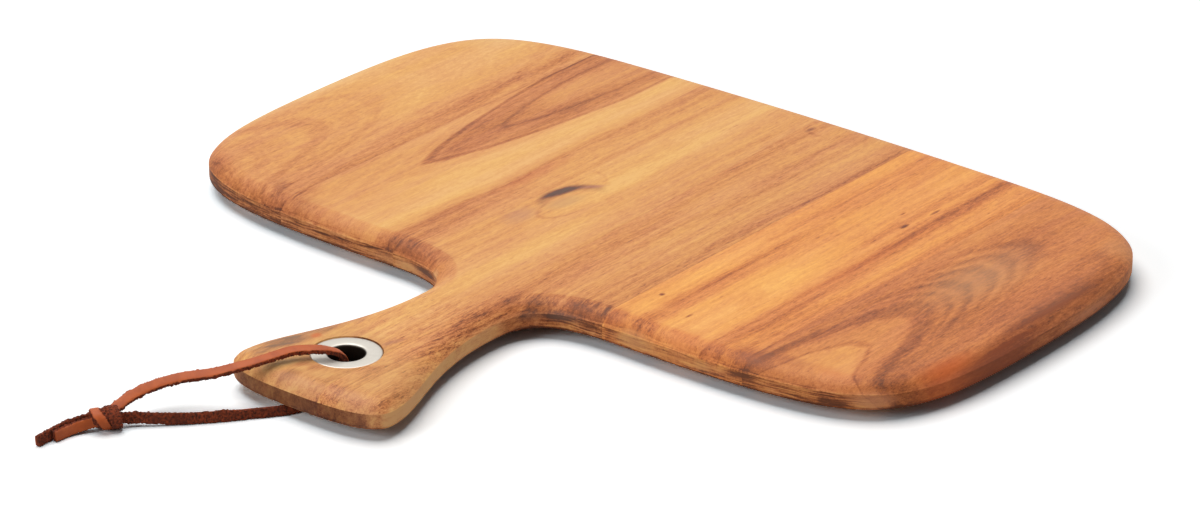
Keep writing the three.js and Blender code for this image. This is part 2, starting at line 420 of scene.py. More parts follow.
def strip(name, spec, closed=False):
    rng = random.Random(spec["seed"])
    narrow = spec.get("narrow", 1.0)
    centres, leans = evenly(smoothLine(spec["route"]), smoothLine(spec["widths"]))
    if closed:
        centres, leans = centres[:-1], leans[:-1]
    section = stripSection()
    points, skin, faces = [], [], []
    rough = [0.0] * len(section)
    total = len(centres)

    def frameAt(i, before, after):
        along = (after - before).normalized()
        across = (leans[i] - along * leans[i].dot(along)).normalized()
        return along, across, along.cross(across) * spec["skinSide"]

    for i, centre in enumerate(centres):
        before = centres[i - 1] if i or closed else centres[i]
        after = centres[(i + 1) % total] if i < total - 1 or closed else centres[i]
        along, across, out = frameAt(i, before, after)
        for j, (u, v, s) in enumerate(section):
            rough[j] = lace["roughCarry"] * rough[j] + rng.uniform(-1, 1)
            u *= narrow
            if s < lace["suedeBelow"]:
                edge = 1 if abs(u) > lace["width"] * lace["edgeFrom"] else 0
                v += lace["nap"] * rough[j] * (-1 if v < 0 else 1) * (lace["edgeNap"] if edge else 1)
                u += edge * lace["fray"] * max(lace["frayIn"], rough[j] * lace["frayShare"]) * (1 if u > 0 else -1)
            points.append(settled(centre + across * u + out * v))
            skin.append(s)
    n = len(section)
    for i in range(total if closed else total - 1):
        for j in range(n):
            a, b = i * n + j, i * n + (j + 1) % n
            c, d = ((i + 1) % total) * n + (j + 1) % n, ((i + 1) % total) * n + j
            faces.append((a, b, c, d))
    if not closed:
        for end, i in ((0, 0), (1, total - 1)):
            middle = len(points)
            points.append(centres[i] * mm)
            skin.append(0.0)
            for j in range(n):
                a, b = i * n + j, i * n + (j + 1) % n
                faces.append((b, a, middle) if end == 0 else (a, b, middle))
    # loose fibres along the cut edges and the napped side
    for k in range(int(lace["fibresPerMm"] * lace["stepLength"] * total)):
        i = rng.randrange(1, total - 1)
        along, across, out = frameAt(i, centres[i - 1], centres[i + 1])
        side = rng.choice((-1, 1))
        kind = lace["edgeFibre"]
        u, v = lace["width"] / 2 * side * narrow, -lace["thickness"] / 2 * rng.uniform(*kind["through"])
        if rng.random() < lace["fibresOnFace"]:
            kind = lace["faceFibre"]
            u, v = u * rng.uniform(*kind["across"]), -lace["thickness"] / 2
        root = centres[i] + across * u * lace["fibreRoot"] + out * v
        rise = rng.uniform(*kind["rise"])
        aim = across * side * rng.uniform(*lace["fibreOut"]) + out * rise
        aim = (aim + along * rng.uniform(*lace["fibreSweep"])).normalized()
        size = rng.uniform(*lace["fibreLength"]) * kind["size"]
        thick = rng.uniform(*lace["fibreThickness"])
        tip = root + aim * size + along * rng.uniform(*lace["fibreCurl"])
        base = len(points)
        one = aim.cross(out + along * lace["fibreTwist"]).normalized() * thick
        two = aim.cross(one).normalized() * thick
        corners = [root + one * a + two * b for a, b in lace["fibreCorners"]]
        for p in (*corners, tip):
            points.append(settled(p))
            skin.append(rng.choice(lace["fibreSkin"]))
        for f in ((0, 2, 1), (0, 1, 3), (1, 2, 3), (2, 0, 3)):
            faces.append(tuple(base + q for q in f))
    obj = meshObject(name, points, [], faces)
    layer = obj.data.attributes.new("skin", "FLOAT", "POINT")
    layer.data.foreach_set("value", skin)
    pick(obj)
    editAll()
    bpy.ops.mesh.normals_make_consistent(inside=False)
    objectMode()
    smoothShade(obj, lace["smooth"])
    length = sum((b - a).length for a, b in zip(centres, centres[1:])) * mm
    return obj, [tuple(c * mm) for c in centres], length


knot = {
    "centre": (-50, -217.6, 4.65),
    "axis": (-0.52, -0.85, 0),  # from the strands towards the cut ends
    "wraps": [  # shift along the axis, half width, half height, lean, skin outwards
        {"shift": -2.6, "reach": 4.4, "rise": 3.45, "lean": 0.5, "skinSide": -1, "narrow": 1.0, "seed": 31},
        {"shift": 2.1, "reach": 4.1, "rise": 3.3, "lean": 2.4, "skinSide": 1, "narrow": 0.85, "seed": 37},
    ],
    "wrapSteps": 16,
    "core": (6.0, 4.6, 4.0),
    "coreSteps": (32, 20),
    "lumps": 0.25,
    "lumpSeed": 41,
}


def knotWrap(index, spec):
    axis = Vector(knot["axis"]).normalized()
    across = Vector((-axis.y, axis.x, 0))
    up = Vector((0, 0, 1))
    centre = Vector(knot["centre"])
    route = []
    for k in range(knot["wrapSteps"] + 1):
        a = 2 * math.pi * k / knot["wrapSteps"]
        route.append(centre + axis * (spec["shift"] + spec["lean"] * math.sin(a))
                     + across * spec["reach"] * math.cos(a) + up * spec["rise"] * math.sin(a))
    return strip(f"laceKnotWrap{index}", {**spec, "route": route, "widths": [axis] * len(route)}, closed=True)[0]


def knotPiece():
    deselectAll()
    segments, rings = knot["coreSteps"]
    bpy.ops.mesh.primitive_uv_sphere_add(segments=segments, ring_count=rings, radius=1)
    core = bpy.context.object
    axis = Vector(knot["axis"])
    core.scale = [s * mm for s in knot["core"]]
    core.rotation_euler = (0, 0, math.atan2(axis.y, axis.x))
    core.location = Vector(knot["centre"]) * mm
    bpy.ops.object.transform_apply(location=True, rotation=True, scale=True)
    core.name = "laceKnot"
    rng = random.Random(knot["lumpSeed"])
    for vertex in core.data.vertices:  # a lumpy, napped heart
        vertex.co += vertex.normal * rng.uniform(-knot["lumps"], knot["lumps"]) * mm
    layer = core.data.attributes.new("skin", "FLOAT", "POINT")
    layer.data.foreach_set("value", [0.0] * len(core.data.vertices))
    wraps = [knotWrap(i, spec) for i, spec in enumerate(knot["wraps"])]
    pick(core)
    for wrap in wraps:
        wrap.select_set(True)
    bpy.ops.object.join()
    return core


leatherLook = {
    "cloud": (180, 3, 0.55), "grain": (2600, 3, 0.6), "nap": (1100, 5, 0.75),  # scale, detail, roughness
    "shades": {"skin": (191, 92, 38), "skinDeep": (174, 79, 30), "skinPores": (146, 66, 32),
               "suedeDeep": (50, 21, 12), "suede": (152, 66, 34), "suedeDull": (84, 35, 21)},
    "deepFrom": (0.35, 0.65), "poresFrom": (0.55, 0.75, 0, 0.35), "napFrom": (0.38, 0.62),
    "dullFrom": (0.4, 0.7, 0, 0.5), "skinFrom": (0.1, 0.8), "roughness": (0.15, 0.7, 0.95, 0.52),
    "shader": {"Specular IOR Level": 0.35},
    "grainHeight": 0.4, "napHeight": 0.6, "bump": 0.5, "bumpReach": 0.00012,
}


def leatherMaterial():
    look = leatherLook
    shades = {name: colour(*shade) for name, shade in look["shades"].items()}
    material = newMaterial("laceLeather")
    where = put("ShaderNodeTexCoord").outputs["Object"]
    skin = put("ShaderNodeAttribute", attribute_name="skin").outputs["Fac"]
    cloud, grain, nap = [noise(scaled(where, size), detail, rough)
                         for size, detail, rough in (look["cloud"], look["grain"], look["nap"])]
    tan = tint(spread(cloud, *look["deepFrom"]), shades["skin"], shades["skinDeep"])
    tan = tint(spread(grain, *look["poresFrom"]), tan, shades["skinPores"])
    suede = tint(spread(nap, *look["napFrom"]), shades["suedeDeep"], shades["suede"])
    suede = tint(spread(cloud, *look["dullFrom"]), suede, shades["suedeDull"])
    base = tint(spread(skin, *look["skinFrom"]), suede, tan)
    height = plus(times(grain, look["grainHeight"]), times(nap, look["napHeight"]))
    finishSurface(look, base, spread(skin, *look["roughness"]), height)
    return material


leather = leatherMaterial()
upper, upperPath, upperLength = strip("laceUpperStrand", upperStrand)
lower, lowerPath, lowerLength = strip("laceLowerStrand", lowerStrand)
backEnd = strip("laceBackTail", backTail)[0]
frontEnd = strip("laceFrontTail", frontTail)[0]
knotObject = knotPiece()
for piece, node in ((upper, "lace_upper"), (lower, "lace_lower"), (knotObject, "lace_knot"),
                    (backEnd, "lace_tail_back"), (frontEnd, "lace_tail_front")):
    dress(piece, leather, "lace", node)
print("lace laid:", round(upperLength / mm), "and", round(lowerLength / mm), "mm of strand")


# the board's blank, in mm

board = {
    "width": 380, "depth": 211.2, "sag": 2.2, "handleReach": 121.3,
    "handleEnd": 78.6, "handleCornerRise": 12.7, "neck": 39.6, "neckDistance": 26.3,
    "shoulder": 58.9, "straight": 68.9, "endMiddle": 100.2, "farStraight": 101.1,
    "pulls": {"handleEnd": 16.1, "handleCorner": 12.3, "flare": 20.1, "neck": 41.8, "neckTop": 19.5, "shoulder": 29.9,
              "straight": 3, "nearMiddle": 20, "nearCorner": 112, "endNear": 89, "endFar": 89, "farCorner": 77},
    "foot": 4.4, "top": 16.0,
    "rim": (5.9, 11.2),
    "topEdge": [(0.2, 11.45), (0.8, 12.25), (1.6, 13.12), (2.5, 13.9), (3.6, 14.6), (4.8, 15.16), (6.2, 15.6),
                (7.6, 15.89), (8.4, 15.98), (8.9, 16.0)],  # inset from the outline, height
    "lowEdge": [(0.12, 5.4), (0.45, 4.85), (1.2, 4.4)],
    "footRim": (6.4, 8.0),  # up inside the board, where the two are joined
    "footEdge": [(5.0, 6.4), (5.0, 4.4), (15.4, 0.22), (16.0, 0.0)],
    "footInset": 5,
    "curveSteps": 32,
    "joinGap": 0.01,
    "cornerGap": 0.15,
    "flatGap": 0.02,
    "flatFacing": 0.9,
    "smooth": 24,
}
length = board["depth"] + board["sag"] + board["handleReach"]
farY = length / 2 - board["sag"]
nearY = farY - board["depth"]
handleEndY = nearY - board["handleReach"]


def outlineAnchors(withHandle):  # point, pull before it, pull after it, for the right half
    b, p = board, board["pulls"]
    half, hand, neck = b["width"] / 2, b["handleEnd"] / 2, b["neck"] / 2
    cornerY, neckY, middleY = handleEndY + b["handleCornerRise"], nearY - b["neckDistance"], nearY + b["endMiddle"]
    tilt = 2 * b["sag"] / b["farStraight"]
    top = farY + b["sag"]
    handle = [
        ((0, handleEndY), (-p["handleEnd"], handleEndY), (p["handleEnd"], handleEndY)),
        ((hand, cornerY), (hand, cornerY - p["handleCorner"]), (hand, cornerY + p["flare"])),
        ((neck, neckY), (neck, neckY - p["neck"]), (neck, neckY + p["neckTop"])),
        ((b["shoulder"], nearY), (b["shoulder"] - p["shoulder"], nearY), (b["shoulder"] + p["straight"], nearY)),
    ]
    plain = [((0, nearY), (-p["nearMiddle"], nearY), (p["nearMiddle"], nearY))]
    body = [
        ((b["straight"], nearY), (b["straight"] - p["straight"], nearY), (b["straight"] + p["nearCorner"], nearY)),
        ((half, middleY), (half, middleY - p["endNear"]), (half, middleY + p["endFar"])),
        ((b["farStraight"], farY), (b["farStraight"] + p["farCorner"], farY - p["farCorner"] * tilt),
         (b["farStraight"] * 2 / 3, farY + b["sag"] * 2 / 3)),
        ((0, top), (b["farStraight"] / 3, top), (-b["farStraight"] / 3, top)),
    ]
    return (handle if withHandle else plain) + body


def outlineMesh(name, withHandle, height):
    right = outlineAnchors(withHandle)
    flip = lambda q: (-q[0], q[1])
    left = [(flip(a), flip(after), flip(before)) for a, before, after in right[1:-1][::-1]]
    anchors = right + left
    data = bpy.data.curves.new(name, "CURVE")
    data.dimensions = "3D"
    data.resolution_u = board["curveSteps"]
    spline = data.splines.new("BEZIER")
    spline.bezier_points.add(len(anchors) - 1)
    spline.use_cyclic_u = True
    for point, (at, before, after) in zip(spline.bezier_points, anchors):
        point.handle_left_type = point.handle_right_type = "FREE"
        point.co = (at[0] * mm, at[1] * mm, height * mm)
        point.handle_left = (before[0] * mm, before[1] * mm, height * mm)
        point.handle_right = (after[0] * mm, after[1] * mm, height * mm)
    obj = bpy.data.objects.new(name, data)
    scene.collection.objects.link(obj)
    pick(obj)
    bpy.ops.object.convert(target="MESH")
    obj = bpy.context.object
    editAll()
    bpy.ops.mesh.remove_doubles(threshold=board["joinGap"] * mm)
    bpy.ops.mesh.edge_face_add()
    objectMode()
    return obj


def raiseSlab(name, withHandle, start, end):  # the outline filled at one height and drawn out to another
    slab = outlineMesh(name, withHandle, start)
    editAll()
    bpy.ops.mesh.extrude_region_move(TRANSFORM_OT_translate={"value": (0, 0, (end - start) * mm)})
    bpy.ops.mesh.select_all(action="SELECT")
    bpy.ops.mesh.normals_make_consistent(inside=False)
    return slab


def selectFlat(obj, height, facing):  # the flat face at one height
    objectMode()
    for vertex in obj.data.vertices:
        vertex.select = False
    for edge in obj.data.edges:
        edge.select = False
    for face in obj.data.polygons:
        level = abs(face.center.z - height * mm) < board["flatGap"] * mm
        face.select = level and face.normal.z * facing > board["flatFacing"]
    bpy.ops.object.mode_set(mode="EDIT")
    bpy.ops.mesh.select_mode(type="FACE")


def stepIn(obj, height, steps, facing):  # rings of faces that follow an edge profile, from a flat face
    selectFlat(obj, height, facing)
    inset = 0
    for nextInset, nextHeight in steps:
        bpy.ops.mesh.inset(thickness=(nextInset - inset) * mm, depth=(nextHeight - height) * mm * facing,
                           use_even_offset=True, use_boundary=True)
        bpy.ops.mesh.remove_doubles(threshold=board["cornerGap"] * mm)  # tight corners run to a point
        inset, height = nextInset, nextHeight


def boardBlank():
    low, high = board["rim"]
    slab = raiseSlab("boardBlank", True, low, high)
    stepIn(slab, high, board["topEdge"], 1)
    stepIn(slab, low, board["lowEdge"], -1)
    objectMode()
    return slab


def footBlank():
    low, high = board["footRim"]
    foot = raiseSlab("footBlank", False, high, low)
    stepIn(foot, low, board["footEdge"], -1)
    selectFlat(foot, high, 1)
    bpy.ops.mesh.inset(thickness=board["footInset"] * mm, depth=0.0, use_even_offset=True)
    objectMode()
    return foot


def splitFlats(obj):  # large flats in even triangles, so that the next cut leaves no bad face
    pick(obj)
    editAll()
    bpy.ops.mesh.quads_convert_to_tris(quad_method="BEAUTY", ngon_method="BEAUTY")
    objectMode()


def joinFoot(blank, foot):
    applyModifier(blank, "BOOLEAN", operation="UNION", object=foot, solver="MANIFOLD")
    bpy.data.objects.remove(foot, do_unlink=True)
    splitFlats(blank)


grommet = {
    "centre": (-2.0, handleEndY + 33), "radius": 14.1, "hole": 7.3,
    "fitGap": 0.3, "seat": 1.9, "bore": 8.5, "cutReach": (-2, 20), "staves": (2, 3),
    "ringProfile": [  # radius, height: from the barrel's foot up and round the flange
        (7.3, 4.7), (7.3, 14.7), (7.42, 15.15), (7.75, 15.5), (8.3, 15.68), (9.2, 15.74), (12.9, 15.74),
        (13.55, 15.68), (13.95, 15.52), (14.1, 15.26), (14.1, 14.5), (13.95, 14.4), (8.2, 14.4), (8.2, 5.2),
        (9.5, 5.0), (9.6, 4.75), (9.4, 4.55), (7.6, 4.5)],
    "washerProfile": [(8.55, 5.35), (13.8, 5.35), (14.1, 5.5), (14.1, 5.85), (13.8, 6.0), (8.55, 6.0)],
    "steps": 128,
    "joinGap": 0.005,
    "smooth": 40,
}


def cutter(name, radius, low, high):
    deselectAll()
    x, y = grommet["centre"]
    bpy.ops.mesh.primitive_cylinder_add(vertices=grommet["steps"], radius=radius * mm, depth=(high - low) * mm,
                                        location=(x * mm, y * mm, (low + high) / 2 * mm))
    obj = bpy.context.object
    obj.name = name
    bpy.ops.object.transform_apply(location=True, rotation=True, scale=True)
    return obj


def boreGrommetSeat(stave):
    seat = grommet["radius"] + grommet["fitGap"]
    below, above = grommet["cutReach"]
    for name, radius, low, high in (("boreCut", grommet["bore"], below, above),
                                    ("seatCut", seat, board["top"] - grommet["seat"], above),
                                    ("washerCut", seat, below, board["foot"] + grommet["seat"])):
        tool = cutter(name, radius, low, high)
        applyModifier(stave, "BOOLEAN", operation="DIFFERENCE", object=tool, solver="MANIFOLD")
        bpy.data.objects.remove(tool, do_unlink=True)


# the staves: x is across the board, y along it, both in mm; tones run from 0 dark to 1 pale

def spot(x, y, across, along, delta, soft=0.9, lean=0.0, level=None, hollow=None, line=None, part=None, side=None,
         **stain):  # a patch of another tone: level is its height and reach, hollow leaves a crescent, line a ring
    return {"at": (x, y), "size": (across, along), "delta": delta, "soft": soft, "lean": lean, "level": level,
            "hollow": hollow, "line": line, "part": part, "side": side, "stain": list(stain.items())}


seams = {
    "far": [-117.5, -60, 1, 50.5, 120],
    "near": [-117.5, -53, 12, 54, 121],
    "reach": length / 2,
    "gap": 0.05,
}
stave1 = {
    "tint": (1.0, 1.0, 1.0), "offset": 11.0, "lines": 0.9, "rim": -0.16, "edge": 0.50, "grain": 1.05, "mottle": 0.60,
    "far": {-190: 0.86, -150: 0.84, -138: 0.76, -131: 0.6, -127: 0.42, -121: 0.52, -117: 0.42},
    "near": {-190: 0.84, -165: 0.72, -145: 0.74, -132: 0.68, -125: 0.56, -121: 0.4, -117: 0.32},
    "turn": (-10, 70),
    "arches": [{"pith": -161, "lean": 0.0, "tip": 59, "power": 2, "radius": 50, "slope": 0.15, "lines": 0.16,
                "spacing": 0.5,
                "rings": {28: -0.04, 36: -0.1, 40: -0.16, 43: -0.1, 44.4: -0.24, 46: -0.12, 49: -0.15, 50.4: -0.17,
                          53: 0, 66: 0}}],
    "spots": [
        spot(-168, -31, 20, 13, -0.2),
        # pale straw along the left end: paler wood, with painted sheen
        spot(-194, 62, 18, 112, 0.1, 0.8, straw=0.55),
        spot(-189, 8, 9, 22, 0.08, 0.8, straw=0.5),
        spot(-172, 150, 30, 26, 0.04, straw=0.4),
        spot(-118, 156, 14, 16, 0.12),
        spot(-128, -33, 6, 9, -0.16, lean=-0.5, umber=0.15),
        spot(-150, -38, 28, 14, -0.16, 0.8, level=(8.4, 4)),
    ],
}
stave2 = {
    "tint": (1.0, 1.0, 1.0), "offset": 23.0, "lines": 0.9, "rim": -0.12, "edge": 0.27, "grain": 1.0, "mottle": 0.34,
    "far": {-118: 0.64, -115: 0.8, -106: 0.8, -84: 0.86, -76: 0.97, -72: 1.0, -66: 0.94, -61: 0.8, -58: 0.56},
    "near": {-118: 0.52, -112: 0.64, -96: 0.74, -86: 0.86, -76: 0.86, -68: 0.95, -62: 0.7, -58: 0.36},
    "turn": (-10, 60),
    "arches": [{"pith": -96.8, "lean": 0.0, "tip": 24, "power": 1.4, "radius": 20.6, "slope": -0.185, "lines": 0.10,
                "spacing": 0.7,
                "rings": {0: -0.24, 4: -0.26, 8: -0.34, 10: -0.42, 11.4: -0.58, 13: -0.44, 15: -0.4, 17: -0.46,
                          19: -0.4, 20: -0.54, 20.9: -0.5, 21.8: -0.18, 23.4: -0.1, 24.6: -0.14, 26: -0.02,
                          29: -0.06, 31: 0, 34: -0.05, 38: 0}}],
    "spots": [
        spot(-102, 126, 6, 44, 0.12),
        spot(-89, 104, 9, 42, -0.16),
        spot(-114, -31, 6, 12, -0.18),
        spot(-109, -39, 9, 9, -0.16, umber=0.12),
        spot(-116.6, -34, 0.9, 9, -0.34, lean=-0.1),
        spot(-63, -42, 9, 8, -0.16),
        spot(-80, -46, 12, 5, -0.2, level=(8.4, 3.6)),
        spot(-58, -46, 16, 6, 0.16, level=(8, 3.4), tan=0.25),
    ],
}
stave3 = {
    "tint": (1.0, 1.0, 1.0), "offset": 37.0, "lines": 0.85, "rim": 0.00, "edge": 0.09, "grain": 1.3, "mottle": 0.40,
    "far": {-62: 0.66, -57: 0.56, -52: 0.66, -45: 0.7, -41.5: 0.56, -38: 0.78, -30: 0.88, -23: 0.98, -17: 0.74,
            -14: 0.7, -6: 0.66, 4: 0.7, 14: 0.66},
    "near": {-62: 0.44, -57: 0.36, -53: 0.52, -50: 0.44, -44: 0.64, -34: 0.66, -24: 0.72, -12: 0.84, -2: 0.84,
             6: 0.62, 14: 0.5},
    "turn": (-10, 60),
    "arches": [],
    "spots": [
        spot(-33, 36, 10, 26, -0.1, 0.95, lean=0.2),
        spot(-55, 42, 6, 34, -0.06, rust=0.22),
        spot(-33, 6, 9, 15, -0.08, 0.95, rose=0.45),
        spot(-27.5, 27, 7, 14, 0.04, 0.8, lean=0.15, tan=0.5),
        spot(-28.5, 33, 11.4, 17, -0.42, 0.3, lean=0.15, hollow=(5.4, -3.0), plum=0.5),
        spot(-34.6, 35, 3.5, 13.5, -0.46, 0.8, lean=0.2, plum=0.6),
        spot(-28, 46, 3.0, 6.5, -0.2, lean=0.7, rose=0.5),
        spot(-25, 30, 8, 20, -0.19, line=0.13, part=-1),
        spot(-37, 49, 11, 10, -0.13, line=0.16, part=1, side=1),
        spot(-8, -142, 46, 34, -0.08, 0.5, honey=0.45),
        spot(-24, -124, 7, 22, -0.26, 0.95, lean=0.1, ash=0.2),
        spot(-27, -141, 7, 11, -0.42, 0.7, lean=0.4, ash=0.34),
        spot(-28, -138, 1.6, 6, -0.26, lean=0.5, ash=0.3),
        spot(-24.5, -142, 1.4, 6, -0.24, lean=0.5, ash=0.3),
        spot(-28.4, -149, 1.6, 5, -0.3, lean=0.5, ash=0.35),
        spot(-32.5, -155, 2.2, 6, 0.1, lean=0.3, straw=0.3),
        spot(-27.6, -156, 1.6, 5, -0.22, lean=0.5, ash=0.25),
        spot(-19, -107, 5, 9, -0.3, lean=-0.3, tan=0.3),
        spot(-21, -130.2, 2.8, 3.4, 0.05, 0.7, rust=0.85),
        spot(-7, -162, 4.4, 7, -0.56, 0.8, lean=0.3, umber=0.3),
        spot(2, -156, 12, 5, 0.14, lean=0.3),
        spot(-27.6, -151, 3.2, 9, -0.22, 0.8, lean=0.4, ash=0.22),
        # painted shadow of the lace
        spot(-7, -152.5, 4, 5, -0.26, lean=0.6, clay=0.3),
        spot(6, -117, 2.2, 9, -0.24, lean=0.3, rose=0.3),
        spot(-20, -158, 4, 6, -0.12, 0.95, lean=0.6, clay=0.2),
        spot(-36, -48, 11, 6, -0.5, level=(8.8, 2.6), ash=0.35),
        spot(-46, -42, 17, 9, -0.22, 0.6, level=(13.2, 4.5), clay=0.3),
        spot(-55, -41, 2.2, 7, -0.26, level=(13.4, 5), umber=0.4),
        spot(-48, -41, 1.4, 6, -0.2, level=(13.4, 5), umber=0.35),
        spot(-38, -43, 1.6, 7, -0.24, lean=0.3, level=(13.4, 5), umber=0.4),
        spot(-33, -47, 1.4, 7, -0.22, lean=0.6, level=(13.4, 5), umber=0.35),
        spot(-29, -53, 4, 5, 0.14, level=(12, 4), straw=0.4),
        spot(-47, -47, 11, 5, 0.24, level=(7.8, 3.4), tan=0.45),
        spot(-31, -44, 9, 7, -0.14, clay=0.25),
        # painted light: paler wood under the lace, against its cast shadow
        spot(-14.4, -156.5, 4, 12, 0.42, lean=0.25, straw=0.35),
        # painted shadow of the lace
        spot(-2, -152, 4, 6, -0.32, lean=0.3, clay=0.25),
        spot(4, -164, 34, 5, 0, 0.8, rose=0.3),
    ],
}
stave4 = {
    "tint": (1.0, 0.995, 0.985), "offset": 41.0, "lines": 0.95, "rim": -0.04, "edge": 0.09, "grain": 1.4,
    "mottle": 0.42,
    "far": {-2: 0.46, 6: 0.5, 10: 0.58, 18: 0.64, 24: 0.5, 29: 0.54, 36: 0.65, 42: 0.58, 47: 0.44, 52: 0.38},
    "near": {2: 0.62, 10: 0.56, 14: 0.46, 22: 0.56, 28: 0.64, 36: 0.6, 44: 0.54, 55: 0.44},
    "turn": (0, 80),
    "arches": [],
    "spots": [
        spot(5.5, 150, 1.8, 5.5, -0.36, 0.95, ash=0.25),
        spot(9.5, 147, 5.5, 2.2, -0.18, 0.95),
        spot(20.5, -77, 17, 46, -0.15, 0.8),
        spot(24, -142, 22, 30, 0, 0.7, honey=0.4),
        spot(17, -151, 10, 9, 0.2),
        spot(24, -162, 22, 6, 0, 0.8, rose=0.3),
        spot(33, -48, 15, 7, -0.5, 0.8, level=(10.6, 3.2), ash=0.5),
        spot(22, -55, 10, 9, -0.26, 0.95, level=(10.6, 3), ash=0.45),
        spot(46, -46, 7, 5, -0.3, level=(9.2, 3), umber=0.4),
        spot(41, -43, 18, 9, -0.4, 0.8, level=(13.2, 4), clay=0.3),
        spot(25, -51, 9, 8, -0.18, level=(13.6, 4), umber=0.25),
        spot(38, -42, 1.6, 6, -0.22, 0.8, level=(13.4, 5), umber=0.5),
        spot(45, -41, 1.4, 6, -0.22, 0.8, level=(13.4, 5), umber=0.5),
        spot(51, -41, 1.6, 6, -0.24, 0.8, level=(13.4, 5), umber=0.5),
    ],
}
seamStains = [  # on both sides of the last seam
    spot(121, -37, 13, 9, -0.24, 0.8, level=(14.4, 4.6), clay=0.5),
    spot(119, -42, 12, 6, -0.46, level=(9.6, 3.4), umber=0.5),
]
stave5 = {
    "tint": (1.13, 1.04, 0.83), "offset": 59.0, "lines": 1.05, "rim": 0.06, "edge": 0.30, "grain": 1.2,
    "mottle": 0.42,
    "far": {49: 0.46, 52: 0.62, 56: 0.66, 60: 0.48, 66: 0.56, 78: 0.64, 86: 0.68, 93: 0.48, 96: 0.62, 99: 0.46,
            102: 0.18, 105: 0.38, 109: 0.62, 113: 0.6, 117: 0.46, 122: 0.4},
    "near": {49: 0.4, 53: 0.6, 58: 0.78, 63: 0.72, 68: 0.38, 72: 0.5, 79: 0.78, 88: 0.88, 96: 0.74, 103: 0.42,
             107: 0.38, 112: 0.54, 117: 0.46, 123: 0.34},
    "turn": (20, 90),
    "arches": [],
    "spots": [
        spot(96, 115, 1.1, 5, -0.5, 0.8, umber=0.3),
        spot(94.5, 96, 1.5, 4, -0.56, 0.8, umber=0.4),
        spot(87, 106, 0.8, 2.6, -0.4, 0.8),
        spot(59.5, -17, 1.5, 1.8, -0.56, 0.8, umber=0.4),
        spot(80, -26, 1.0, 2.8, -0.4, 0.8, umber=0.3),
        spot(68, 8, 1.2, 26, -0.12, rust=0.2),
        spot(103, 60, 4, 70, 0, rust=0.3),
        spot(88, -46, 44, 6, 0, 0.5, level=(8.4, 3.6), rose=0.14),
        spot(66, -29, 8, 8, 0.16),
        spot(68, -46, 13, 4.4, 0.26, 0.7, level=(9.6, 5.4), tan=0.4),
        spot(88, -44, 17, 5, -0.22, 0.95, level=(9.4, 2), clay=0.3),
        spot(102, -45, 7, 4, 0.12, level=(8.4, 3.4), tan=0.3),
        spot(113, -12, 8, 36, -0.06),
        spot(89, 2, 8, 18, -0.15, 0.95, rust=0.12),
        spot(57, -42, 6, 8, -0.3, 0.8, clay=0.3),
        spot(89, -40, 9, 9, -0.1, rust=0.28),
        *seamStains,
    ],
}
stave6 = {
    "tint": (1.08, 1.04, 0.95), "offset": 73.0, "lines": 0.55, "rim": -0.06, "edge": 0.50, "grain": 0.95,
    "mottle": 0.34,
    "far": {118: 0.48, 124: 0.42, 134: 0.36, 150: 0.38, 164: 0.38, 176: 0.28, 192: 0.2},
    "near": {118: 0.34, 125: 0.36, 132: 0.31, 142: 0.34, 152: 0.38, 164: 0.32, 178: 0.3, 192: 0.22},
    "turn": (20, 90),
    "arches": [{"pith": 147, "lean": -0.03, "tip": -9, "power": 2, "radius": 30, "slope": 0.12, "lines": 0.03,
                "spacing": 0.6,
                "rings": {18: 0.18, 26: 0.24, 29.7: 0.24, 30.2: -0.06, 30.7: 0.1, 33.2: 0.06, 34.4: -0.14,
                          35.8: -0.16, 37.2: 0, 39: -0.05, 42: 0, 46: -0.03, 50: 0, 70: 0}},
               {"pith": 147, "lean": -0.03, "tip": -9, "power": 2, "radius": 30, "slope": 0.12, "lines": 0.0,
                "spacing": 0.6, "reach": (9, 25),
                "rings": {36.8: 0, 37.6: -0.13, 38.2: 0.02, 39.2: -0.16, 40: 0.03, 41.2: -0.15, 41.9: 0.03,
                          42.8: -0.16, 43.6: 0.03, 44.6: -0.11, 46: 0, 70: 0}}],
    "spots": [
        spot(147, 74, 20, 48, 0, tan=0.48),
        spot(143, 104, 10, 18, -0.04, 0.95, ash=0.1),
        spot(184, 2, 8, 25, 0, lean=0.06, copper=0.7),
        spot(191, 24, 8, 40, -0.2, 0.8, ember=0.7),
        spot(184.4, 68, 2.4, 48, -0.2, ember=0.45),
        spot(187.6, 40, 1.2, 34, -0.16, ember=0.4),
        # painted light: paler rim along the right end
        spot(191, 99, 5, 36, 0.12, 0.8, level=(8.4, 5), rose=0.35),
        spot(136, -33, 15, 6, -0.14, clay=0.3),
        # painted light: paler rim at the near-right corner
        spot(170, -29, 17, 11, 0.42, 0.8, level=(8.6, 5.4), rose=0.4),
        spot(166, -31, 20, 12, 0.34, 0.8, level=(5.4, 3.2)),
        # painted sheen at the far-right corner
        spot(173, 135, 11, 15, 0.15, tan=0.25),
        spot(152, -31, 12, 5, -0.04, rust=0.3),
        spot(182, 78, 10, 46, -0.12, clay=0.3),
        *seamStains,
    ],
}
stavePlan = [stave1, stave2, stave3, stave4, stave5, stave6]
woodTones = {0.0: (98, 50, 24), 0.14: (152, 83, 42), 0.32: (194, 117, 66), 0.5: (216, 143, 85), 0.72: (230, 164, 98),
             0.9: (238, 179, 108), 1.0: (243, 189, 118)}
stains = {"ash": (116, 92, 82), "plum": (88, 64, 57), "rose": (196, 138, 112), "rust": (212, 112, 54),
          "tan": (203, 150, 104), "umber": (122, 70, 42), "clay": (180, 104, 64), "ember": (146, 68, 30),
          "copper": (200, 92, 36), "straw": (243, 206, 150), "honey": (207, 152, 90)}
